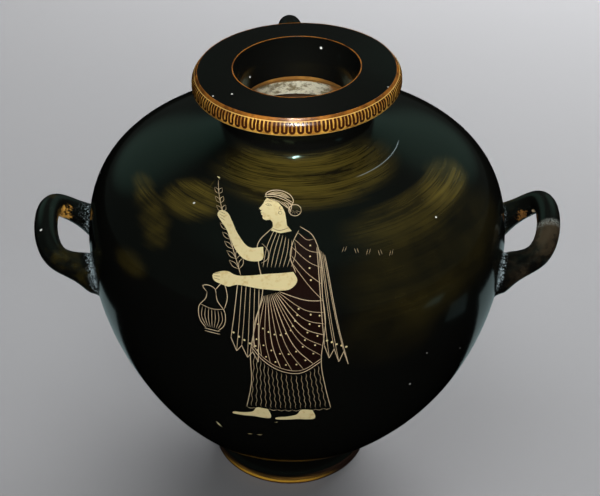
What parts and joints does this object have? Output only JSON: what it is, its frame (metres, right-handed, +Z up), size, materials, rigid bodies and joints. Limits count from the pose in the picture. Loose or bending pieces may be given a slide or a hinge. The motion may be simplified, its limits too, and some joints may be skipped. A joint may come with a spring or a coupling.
{
  "type": "kalpis",
  "caption": "Black-glazed fired-clay water jar with a wide rounded body, short neck, broad flat lip, disc foot, loop handles at the sides and an arched pouring handle behind.",
  "frame": {"origin": "on the table under the axis of the body, at the middle of the jar's base plane", "axes": "+Z up along the body's axis, -Y towards the decorated front, the carrying handles along +X and -X, the pouring handle at +Y"},
  "size_m": [0.39, 0.3048, 0.3409],
  "materials": {
    "fired_clay": "glossy black slip over orange clay, with bare clay bands, fine incised lines and cream paint"
  },
  "bodies": {
    "root": {"kalpis_vessel": "fired_clay"}
  },
  "joints": []
}
